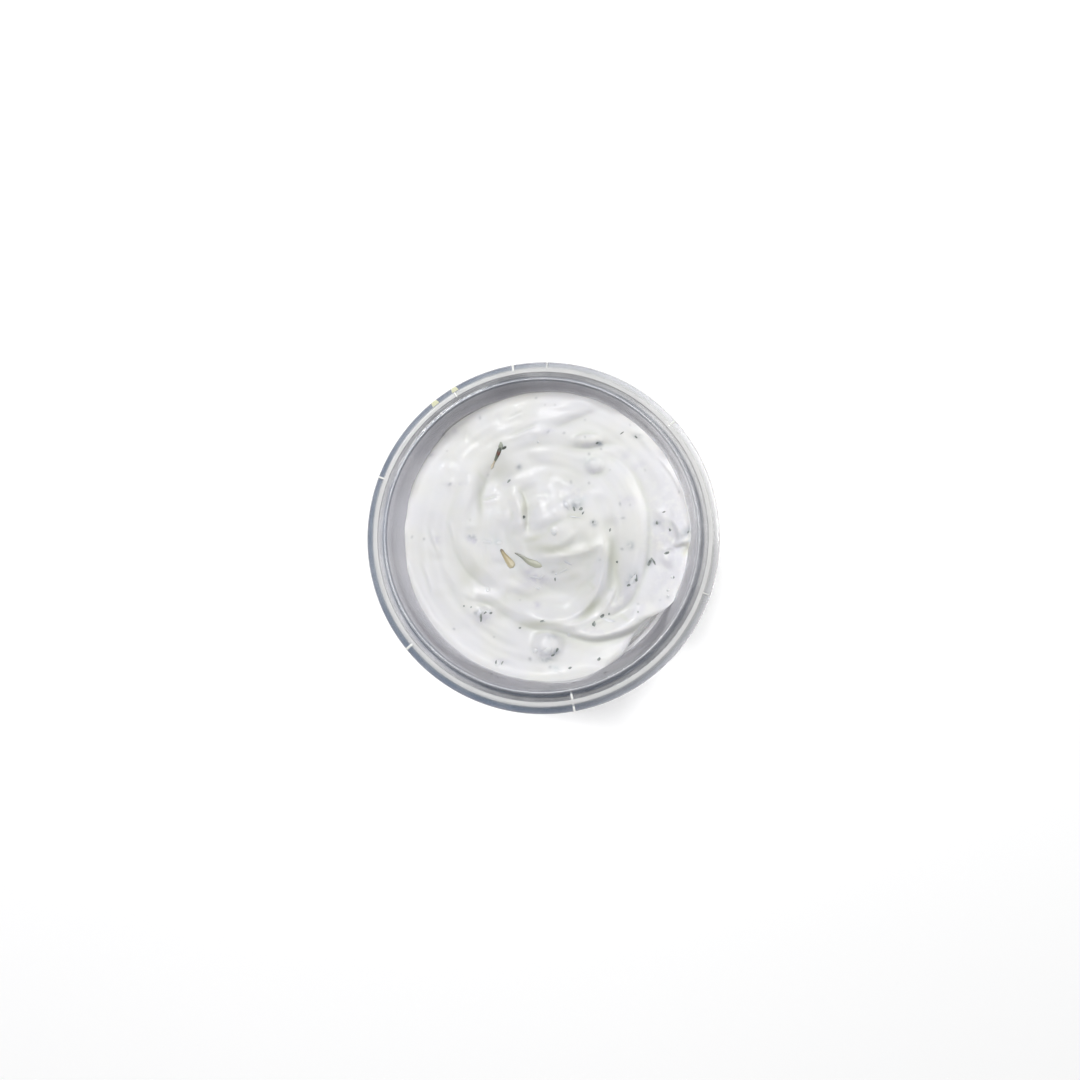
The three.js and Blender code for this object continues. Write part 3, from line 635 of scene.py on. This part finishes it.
def on_dip(points):
    """Places in plan, in mm, where the camera sees points on the dip that start with (u, v) in pixels."""
    pixels = np.array([point[:2] for point in points], float)
    across, downward = (pixels.T - PICTURE / 2) * SENSOR / LENS / PICTURE
    ray = -np.array(back) + across[:, None] * np.array(right) - downward[:, None] * np.array(up)
    start = np.array(AIM + back * CAMERA_AWAY) / MM
    z = np.full(len(points), 36.0)  # a first guess, made better four times
    for _ in range(4):
        run = (z - start[2]) / ray[:, 2]
        x, y = start[0] + run * ray[:, 0], start[1] + run * ray[:, 1]
        z = surface_height(x, y)
    return np.stack([x, y], 1)


PIXEL = 0.34  # mm on the dip to a pixel of the picture
SPECKS = (  # points in the picture of the smallest dark spots
    (488, 475), (530, 659), (550, 667), (553, 572), (622, 549), (638, 604), (668, 597), (679, 492),
    (645, 470), (630, 425), (585, 437), (601, 449), (589, 454), (571, 482), (589, 483), (564, 433),
    (555, 405), (548, 432), (536, 398), (480, 418), (444, 435), (447, 451), (430, 455), (450, 484),
    (412, 537), (424, 539), (630, 505), (620, 504), (623, 518), (454, 629), (494, 637), (545, 405),
    (519, 467), (470, 536), (476, 540), (546, 650), (475, 613), (640, 620), (600, 560), (612, 590),
    (660, 600), (470, 520), (520, 600), (585, 420), (610, 470),
)


def speck(u, v):
    """A small spot at a point in the picture, whose size, turn and strength vary with the point."""
    reach_u, reach_v = 1 + (u * 7 + v) % 5 * 0.25, 1 + (u + v * 3) % 4 * 0.2
    return u, v, reach_u, reach_v, 25 * (u % 7), 0.35 + 0.08 * (v % 5)


# Sunk shallot and herbs show through the yogurt as soft spots: lilac, slate and teal ones. The olive
# spots are painted shade, in the creases and under the overhanging folds, and one long lilac patch is
# painted shade down the east side.
STAINS_AND_SHADE = {  # point in the picture, reach along and across in pixels, turn in degrees, strength
    "lilac_stain_and_shade": (
        (455, 484, 11, 2.5, 0, 0.5), (472, 540, 7, 3.5, -30, 0.9), (546, 653, 6, 5, 0, 0.9),
        (484, 618, 11, 7, 40, 0.6), (530, 582, 15, 7, 30, 0.5), (628, 500, 10, 5, 0, 0.4),
        (617, 518, 7, 7, 0, 0.4), (640, 465, 8, 4, 30, 0.4), (456, 431, 4, 4, 0, 0.5),
        (432, 455, 3, 5, 0, 0.5), (446, 436, 3, 3, 0, 0.5), (660, 512, 8, 5, 20, 0.5),
        (620, 600, 22, 8, 45, 0.45), (600, 632, 20, 4, -10, 0.4), (664, 556, 6, 9, 0, 0.4),
        (548, 431, 6, 3, 20, 0.5), (626, 455, 7, 5, 30, 0.4), (537, 605, 4, 4, 0, 0.8),
        (508, 481, 6, 4, 60, 0.5), (640, 610, 10, 5, 60, 0.4), (500, 662, 9, 4, 0, 0.5),
        (575, 492, 12, 6, 0, 0.4), (436, 540, 5, 4, 0, 0.6), (590, 445, 14, 3, 0, 0.5),
        # the long patch at (670, 540) is painted shade down the east side of the dip
        (593, 473, 7, 4, 0, 0.6), (670, 540, 26, 75, 0, 0.45), (640, 640, 50, 14, 40, 0.3),
        (536, 579, 12, 6, -10, 0.8), (529, 572, 6, 4, 0, 0.6),
    ),
    "slate": (
        (600, 443, 3.5, 3, 0, 0.9), (576, 506, 7, 5, 0, 0.6), (555, 652, 4, 3, 0, 0.8),
        (546, 660, 8, 3, 0, 0.5), (657, 523, 3, 2.5, 0, 0.8), (630, 546, 3.5, 3.5, 0, 0.6),
        (632, 580, 7, 4, 45, 0.7), (594, 523, 3.5, 3.5, 0, 0.7), (480, 612, 5, 3, 20, 0.6),
        (551, 637, 8, 2.5, 0, 0.35), (688, 530, 6, 3, 60, 0.5), (650, 562, 5, 3, 60, 0.7),
        (519, 467, 3, 3, 0, 0.6), (472, 537, 4, 2.5, 0, 0.6), (637, 436, 5, 2, 0, 0.7),
    ),
    "speck": [speck(u, v) for u, v in SPECKS],
    "teal": (
        (493, 541, 12, 4.5, -10, 0.5), (580, 500, 8, 4, 20, 0.5), (632, 575, 8, 4, 60, 0.5),
        (630, 545, 4, 4, 0, 0.5), (600, 560, 6, 3, 0, 0.3), (684, 536, 6, 7, 0, 0.5),
        (503, 447, 4, 4, 0, 0.4), (589, 460, 9, 6, 0, 0.3), (555, 668, 5, 4, 0, 0.5),
        (520, 565, 8, 5, 40, 0.4),
    ),
    # painted shade, olive-grey, in the creases and under the overhanging folds
    "olive_shade": (
        (524, 508, 3, 12, 0, 0.7), (535, 538, 12, 3.5, 15, 0.6), (553, 549, 24, 4.5, -5, 0.6),
        (538, 624, 20, 4, 0, 0.7), (590, 608, 12, 4, 50, 0.8), (613, 560, 6, 26, 10, 0.5),
        (570, 478, 22, 9, 0, 0.3), (500, 470, 12, 14, 0, 0.4), (480, 500, 4, 22, 0, 0.5),
        (686, 550, 5, 5, 40, 1.0), (610, 660, 22, 10, -30, 0.3), (510, 600, 22, 4, 10, 0.3),
        (575, 516, 8, 4, 0, 0.5), (575, 577, 8, 4, 0, 0.3), (640, 625, 14, 5, 30, 0.6),
        (590, 545, 8, 12, 0, 0.3), (470, 575, 8, 16, -40, 0.35),
    ),
}
vert_x, vert_y = np.array([vert.co[:2] for vert in bm.verts]).T / MM
on_top = np.arange(len(vert_x)) < len(crease_shade)
crease_shade = np.concatenate([np.clip(crease_shade, 0, 1), np.zeros(len(vert_x) - len(crease_shade))])
crease_shade = np.where(np.hypot(vert_x, vert_y) < CREASE_SHADE_WITHIN, crease_shade, 0)
tones = {"crease_shade": crease_shade, "at_wall": 1.0 - on_top}
for tone, spots in STAINS_AND_SHADE.items():
    tones[tone] = np.zeros(len(vert_x))
    for (spot_x, spot_y), (_, _, reach_u, reach_v, degrees, strength) in zip(on_dip(spots), spots):
        turn = math.radians(degrees)
        off_x, off_y = (vert_x - spot_x) / PIXEL, (vert_y - spot_y) / PIXEL
        along = off_x * math.cos(turn) + off_y * math.sin(turn)
        across = off_y * math.cos(turn) - off_x * math.sin(turn)
        spot_tone = strength * np.exp(-(along / reach_u) ** 2 - (across / reach_v) ** 2)
        tones[tone] = np.maximum(tones[tone], spot_tone * on_top)

# the crease and olive tints are painted shade; the lilac tint is sunk shallot and, in one patch, painted
# shade
TINTS = (
    ("crease_shade", (0.67, 0.685, 0.64)), ("olive_shade", (0.52, 0.535, 0.43)), ("teal", (0.57, 0.625, 0.635)),
    ("lilac_stain_and_shade", (0.56, 0.55, 0.62)), ("slate", (0.26, 0.29, 0.33)), ("speck", (0.25, 0.27, 0.29)),
)
MOTTLED, PLAIN_SHARE, SUNK_HERB = ("lilac_stain_and_shade", "slate", "teal"), 0.8, (0.22, 0.25, 0.22)


def attribute(tree, name):
    """The socket of a mesh attribute."""
    node = tree.nodes.new("ShaderNodeAttribute")
    node.attribute_name = name
    return node.outputs["Fac"]


cream, tree, shader = new_material(
    "yogurt", roughness=0.4, ior=1.42, subsurface_weight=0.25, subsurface_scale=0.002,
    coat_weight=0.1, coat_roughness=0.06)
place = object_place(tree)
grit = bumped(noise(place, 170), 0.3, 0.4 * MM)
feed(grit, shader.inputs["Normal"])
whey = bumped(noise(place, 480), 0.2, 0.2 * MM, normal=grit)
feed(whey, shader.inputs["Coat Normal"])
colour = mixed(ranged(noise(place, 70), 0.4, 0.62), (0.722, 0.722, 0.737), (0.732, 0.732, 0.712))
mottle = ranged(noise(place, 420), 0.3, 0.55)
for tone, tint in TINTS:
    amount = product(attribute(tree, tone), mottle if tone in MOTTLED else PLAIN_SHARE)
    colour = mixed(amount, colour, tint)
cells = tree.nodes.new("ShaderNodeTexVoronoi")
feed(330, cells.inputs["Scale"])
feed(place, cells.inputs["Vector"])
few = tree.nodes.new("ShaderNodeSeparateColor")
feed(cells.outputs["Color"], few.inputs["Color"])
dots = product(ranged(cells.outputs["Distance"], 0.22, 0.12), ranged(few.outputs["Red"], 0.6, 0.75))
dots = product(dots, attribute(tree, "at_wall"))
feed(mixed(dots, colour, SUNK_HERB), shader.inputs["Base Color"])
dip = new_object("yogurt_dip", bm, cream)
for tone, values in tones.items():
    layer = dip.data.attributes.new(tone, "FLOAT", "POINT")
    layer.data.foreach_set("value", values.astype(np.float32))
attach(dip, "root")
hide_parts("dip")

# ---- Herb flecks ---------------------------------------------------------------------------------
# Dried green herb, rubbed small and stirred in: dark flat flakes, thin needles and one folded leaf,
# that lie on the yogurt or are pressed halfway into it.
HERB_FLECKS = (  # point in the picture, length and width in pixels, turn in degrees
    (524, 517, 3.8, 2.6, 70), (574, 509, 4.6, 2.6, 100), (581, 509, 4, 3.4, 10), (583, 513, 4, 1.6, 60),
    (593, 522, 2.6, 1.8, 80), (509, 481, 5, 2, 40), (481, 618, 7.4, 2.2, 85), (491, 613, 3, 1.9, 10),
    (543, 621, 7, 2.4, 5), (520, 628, 2.6, 1.8, 10), (599, 659, 4.8, 3, 40), (570, 668, 3.6, 2, 20),
    (496, 662, 5, 1.6, 80), (502, 663, 4.5, 1.6, 60), (555, 579, 3.6, 1.6, 85), (617, 562, 2.6, 2, 70),
    (636, 578, 8, 3, 100), (629, 585, 4, 2, 30), (602, 616, 4.4, 3, 30), (609, 614, 2.4, 2, 0),
    (594, 624, 5.4, 3.4, 80), (667, 553, 5, 2.8, 10), (673, 577, 3.4, 2.2, 0), (668, 590, 3.2, 2.2, 0),
    (657, 523, 3.4, 2.2, 100), (670, 530, 3.4, 2.4, 100), (664, 512, 3.6, 1.4, 20), (636, 437, 3.6, 1.4, 0),
    (622, 433, 4, 1, 40), (597, 443, 3.6, 1.7, 20), (650, 562, 9, 2.4, 62), (654, 562, 8, 1.8, 115),
    (688, 532, 3, 1.4, 60), (553, 655, 4.4, 2, 20), (557, 650, 4, 2.4, 60), (464, 606, 2, 1.6, 0),
    (471, 607, 2, 1.4, 0), (486, 612, 6, 1.8, 0), (610, 530, 3.6, 1.6, 70), (638, 612, 2.4, 1.8, 0),
)
FLECK_RADIUS, FLECK_SUNK, FLECK_THICK, FLECK_TILT = 0.56 * PIXEL, 0.12, 0.2, 0.12
herb_tint = mottled("herb", 900, (0.095, 0.112, 0.11), (0.31, 0.34, 0.32), span=(0.35, 0.65),
                    roughness=0.5, coat_weight=0.15)


def laid(bm):
    """Lets every vertex of bm, whose z is its height in mm over flat ground, lie on the dip."""
    places = np.array([vert.co for vert in bm.verts])
    for vert, height in zip(bm.verts, surface_height(places[:, 0], places[:, 1])):
        vert.co = Vector((vert.co.x, vert.co.y, vert.co.z + height)) * MM
    bmesh.ops.recalc_face_normals(bm, faces=bm.faces)


def in_plan(place, degrees):
    """Matrix that takes a flat shape at the origin to a place in plan, turned by degrees."""
    return Matrix.Translation((*place, 0)) @ Matrix.Rotation(math.radians(degrees), 4, "Z")


chance = random.Random(7)
bm = bmesh.new()
for place, (_, _, length, width, degrees) in zip(on_dip(HERB_FLECKS), HERB_FLECKS):
    spot = in_plan(place, degrees or chance.uniform(0, 180))
    ring = bmesh.ops.create_circle(bm, cap_ends=True, radius=FLECK_RADIUS, segments=8)["verts"]
    for vert in ring:
        uneven = chance.uniform(0.7, 1.15)
        vert.co = spot @ Vector((vert.co.x * length * uneven, vert.co.y * width * uneven, -FLECK_SUNK))
    top = bmesh.ops.extrude_face_region(bm, geom=[ring[0].link_faces[0]])["geom"]
    tilt = Vector((chance.uniform(-FLECK_TILT, FLECK_TILT), chance.uniform(-FLECK_TILT, FLECK_TILT), 0))
    for vert in (item for item in top if isinstance(item, bmesh.types.BMVert)):
        vert.co.z += FLECK_THICK + tilt.dot(vert.co - spot.translation)
laid(bm)
flecks = new_object("herb_flecks", bm, herb_tint, smooth=False)
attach(flecks, "root")

# ---- Shallot strips and herb sprig ---------------------------------------------------------------
# The three bigger bits: a beige strip of shallot with a dark root end, a thin olive strip of its
# skin, and a dark herb sprig with a red-brown spot and a pale stalk. They lie on the yogurt, a
# little sunk.
SHALLOT_LINE = ((500.8, 549), (504, 554.5), (508, 560), (513.5, 567.5))  # points in the picture
SHALLOT_WIDTHS = (3.2, 4, 5.4, 7.2, 8.4, 7.2)  # pixels, evenly along the strip
SKIN_LINE = ((514.5, 552.8), (521, 556), (528, 561), (535, 564), (542, 566.5))
SKIN_WIDTHS = (1.6, 2.8, 4.2, 6.4, 7, 3.4)
STALK_LINE = ((501, 447), (499.5, 450), (498, 454), (495.8, 459), (493.6, 463.5), (491, 469.5))
STALK_WIDTHS = (3, 4.4, 4.2, 3.4, 2.6, 1.6, 3.4, 1.4)
TIP_LINE, TIP_WIDTHS = ((500.6, 441.6), (500.9, 445), (500.2, 449)), (1, 3.4, 5, 3.6)
SIDE_LEAF_LINE, SIDE_LEAF_WIDTHS = ((499.8, 448.4), (502.8, 448.6), (506.4, 446.4)), (2, 1.8, 3, 1.6)


def add_strip(bm, points, widths, thick, tones=(0, 1), rows=26, segments=14):
    """Adds a flat strip along points of the picture, as wide as widths says in pixels, with rounded
    edges. Its vertices hold how far along and across they are, along on the scale of tones."""
    line = smooth_line(on_dip(points), rows - 1)
    steps = np.gradient(line, axis=0)
    steps /= np.hypot(*steps.T)[:, None]
    shares = np.linspace(0, 1, rows)
    wide = np.interp(shares, np.linspace(0, 1, len(widths)), widths) * PIXEL / 2
    ends = np.sqrt(np.clip(1 - (2 * np.abs(shares - 0.5)) ** 12, 0.02, 1))
    layers = bm.verts.layers.float
    along_layer = layers.get("along") or layers.new("along")
    across_layer = layers.get("across") or layers.new("across")
    ring = bmesh.ops.create_circle(bm, radius=1, segments=segments)["verts"]
    rim = list({edge for vert in ring for edge in vert.link_edges})
    first = rim
    for row in range(rows):
        if row:
            made = bmesh.ops.extrude_edge_only(bm, edges=rim)["geom"]
            rim = [item for item in made if isinstance(item, bmesh.types.BMEdge)]
            fresh = {vert for edge in rim for vert in edge.verts}
            ring = [next(edge.other_vert(vert) for edge in vert.link_edges if edge.other_vert(vert) in fresh)
                    for vert in ring]
        for i, vert in enumerate(ring):
            turn = 2 * math.pi * i / segments
            across, rise = math.cos(turn), math.sin(turn)
            out = across * wide[row] * ends[row]
            vert.co = (line[row, 0] - steps[row, 1] * out, line[row, 1] + steps[row, 0] * out,
                       thick * (0.02 + 0.55 * rise * ends[row] * (1 - 0.35 * abs(across))))
            vert[along_layer] = tones[0] + (tones[1] - tones[0]) * shares[row]
            vert[across_layer] = abs(across)
    for loop in (first, rim):
        bmesh.ops.holes_fill(bm, edges=loop, sides=0)


def banded(name, stops, edge_tint, edge_share, **values):
    """A wet material whose colour runs along a strip by stops of (position, colour), with an edge of
    its own tint."""
    material, tree, shader = new_material(name, **values)
    shift = tree.nodes.new("ShaderNodeMath")
    shift.operation = "MULTIPLY_ADD"
    for socket, value in zip(shift.inputs, (noise(object_place(tree), 800), 0.3, -0.15)):
        feed(value, socket)
    total = tree.nodes.new("ShaderNodeMath")
    feed(attribute(tree, "along"), total.inputs[0])
    feed(shift.outputs["Value"], total.inputs[1])
    edge = ranged(attribute(tree, "across"), edge_share, 1)
    along = ramped(total.outputs["Value"], stops)
    feed(mixed(edge, along, edge_tint), shader.inputs["Base Color"])
    return material


shallot_tint = banded(
    "shallot", (
        (0.0, (0.13, 0.11, 0.07)), (0.08, (0.24, 0.20, 0.13)), (0.2, (0.46, 0.39, 0.24)),
        (0.55, (0.56, 0.48, 0.31)), (0.9, (0.55, 0.50, 0.35)),
    ), (0.76, 0.74, 0.66), 0.76,
    roughness=0.25, coat_weight=0.3, subsurface_weight=0.2, subsurface_scale=0.001)
bm = bmesh.new()
add_strip(bm, SHALLOT_LINE, SHALLOT_WIDTHS, 0.8)
laid(bm)
strip = new_object("beige_shallot_strip", bm, shallot_tint)
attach(strip, "root")
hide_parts("shallot_strip")

skin_tint = banded(
    "shallot_skin", (
        (0.0, (0.22, 0.22, 0.20)), (0.3, (0.34, 0.35, 0.30)), (0.6, (0.45, 0.46, 0.37)),
        (0.9, (0.54, 0.55, 0.45)),
    ), (0.55, 0.57, 0.52), 0.8, roughness=0.22, coat_weight=0.3)
bm = bmesh.new()
add_strip(bm, SKIN_LINE, SKIN_WIDTHS, 0.5)
laid(bm)
skin = new_object("olive_skin_strip", bm, skin_tint)
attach(skin, "root")
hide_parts("shallot_skin_strip")

sprig_tint = banded(
    "sprig", (
        (0.0, (0.38, 0.41, 0.34)), (0.16, (0.06, 0.07, 0.06)), (0.28, (0.10, 0.11, 0.09)),
        (0.38, (0.15, 0.04, 0.03)), (0.48, (0.11, 0.12, 0.09)), (0.66, (0.20, 0.22, 0.17)),
        (0.76, (0.58, 0.50, 0.37)), (1.0, (0.70, 0.65, 0.54)),
    ), (0.26, 0.28, 0.23), 0.8, roughness=0.5, coat_weight=0.15)
bm = bmesh.new()
add_strip(bm, STALK_LINE, STALK_WIDTHS, 0.7, tones=(0.15, 1))
add_strip(bm, TIP_LINE, TIP_WIDTHS, 0.5, tones=(-0.1, 0.1), rows=12)
add_strip(bm, SIDE_LEAF_LINE, SIDE_LEAF_WIDTHS, 0.6, tones=(0.1, 0.18), rows=12)
laid(bm)
sprig = new_object("herb_sprig_leaf", bm, sprig_tint)
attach(sprig, "root")
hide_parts("herb_sprig")

# ---- Shallot bits --------------------------------------------------------------------------------
# Finely cut raw shallot, wet and half see-through, lilac to bluish, mostly sunk in the yogurt.
# Each is an uneven sliver, bent a little.
SHALLOT_BITS = (  # point in the picture, length, width and height in pixels, turn in degrees
    (566, 505, 11, 4, 0.8, -60), (575, 517, 13, 1.5, 1.2, -8), (583, 512, 5, 1.2, 1, 80),
    (633, 580, 10, 5, 1.2, 60), (535, 577.5, 15, 1.5, 1.4, -14), (542, 577, 7, 1.3, 1.2, 50),
    (537, 588, 7, 1.6, 1.2, -25), (479, 613, 9, 4, 1.2, 75), (488, 611, 8, 3, 1, 10),
    (499, 543, 7, 2.6, 0.8, 10), (487, 542, 8, 2.6, 0.8, -10), (498, 663, 6, 3, 0.8, 70),
    (608, 620, 14, 3, 1.2, -15), (568, 563, 8, 2, 1, -30), (563, 571, 9, 1.8, 1, 25),
    (546, 652, 10, 7, 1, 30),
)
bit_tint = mottled(
    "wet_shallot", 300, (0.72, 0.72, 0.75), (0.82, 0.82, 0.81), span=(0.38, 0.6), roughness=0.35,
    coat_weight=0.15, coat_roughness=0.08, subsurface_weight=0.3, subsurface_scale=0.0015)
bm = bmesh.new()
for place, (_, _, length, width, height, degrees) in zip(on_dip(SHALLOT_BITS), SHALLOT_BITS):
    spot = in_plan(place, degrees)
    swell = [chance.uniform(0, 6.3) for _ in range(3)]
    for vert in bmesh.ops.create_icosphere(bm, subdivisions=4, radius=PIXEL / 2)["verts"]:
        x, y, z = vert.co / PIXEL
        uneven = 1 + 0.16 * math.sin(7 * x + swell[0]) + 0.12 * math.sin(9 * y + swell[1])
        vert.co = spot @ Vector((x * length * uneven * PIXEL, (y * uneven + x * x * 0.3) * width * PIXEL,
                                 z * height * PIXEL * (0.6 + 0.2 * math.sin(6 * x + swell[2]))))
laid(bm)
bits = new_object("shallot_bits", bm, bit_tint)
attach(bits, "root")

# ---- Bubbles -------------------------------------------------------------------------------------
# Small air bubbles that broke the yogurt's surface: thin milky domes with a wet shine, each a
# flattened ball sunk to its middle.
BUBBLES = (  # point in the picture, width in pixels
    (488, 590, 4.4), (569, 635, 3.6), (554, 533, 5), (535, 651, 5), (672, 577, 3), (668, 590, 2.6),
    (668, 595.5, 2.2), (538, 442, 2.4), (556, 574, 2),
)
BUBBLE_FLATNESS = 0.4
film = mottled("bubble_film", 500, (0.72, 0.73, 0.755), (0.77, 0.77, 0.77), roughness=0.2,
               subsurface_weight=0.3, subsurface_scale=0.001, coat_weight=0.6, coat_roughness=0.04)
bm = bmesh.new()
for place, (_, _, size) in zip(on_dip(BUBBLES), BUBBLES):
    ball = bmesh.ops.create_uvsphere(bm, u_segments=24, v_segments=16, radius=size * PIXEL / 2)["verts"]
    for vert in ball:
        vert.co = in_plan(place, 0) @ Vector((vert.co.x, vert.co.y, vert.co.z * BUBBLE_FLATNESS))
laid(bm)
bubbles = new_object("bubbles", bm, film)
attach(bubbles, "root")
